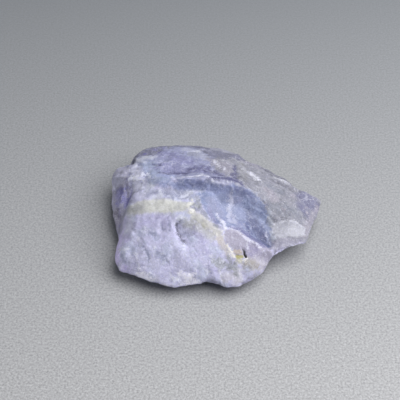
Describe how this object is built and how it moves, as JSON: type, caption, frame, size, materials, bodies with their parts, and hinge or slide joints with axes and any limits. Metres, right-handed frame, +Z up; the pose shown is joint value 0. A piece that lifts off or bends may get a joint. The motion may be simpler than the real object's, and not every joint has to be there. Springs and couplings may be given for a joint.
{
  "type": "hackmanite crystal",
  "caption": "Rough broken lump of pale violet-blue hackmanite with a cream vein, a sharp ledge across the top and a hollow blue scoop, lying on a small flat spot.",
  "frame": {"origin": "on the surface that the stone rests on, under the middle of its outline", "axes": "+Z up; +X from the blunt left end to the pointed right end; -Y towards the pale front face"},
  "size_m": [0.045, 0.038, 0.0151],
  "materials": {
    "hackmanite": "cloudy, slightly translucent broken mineral with a soft waxy sheen"
  },
  "bodies": {
    "root": {"hackmanite": "hackmanite"}
  },
  "joints": []
}
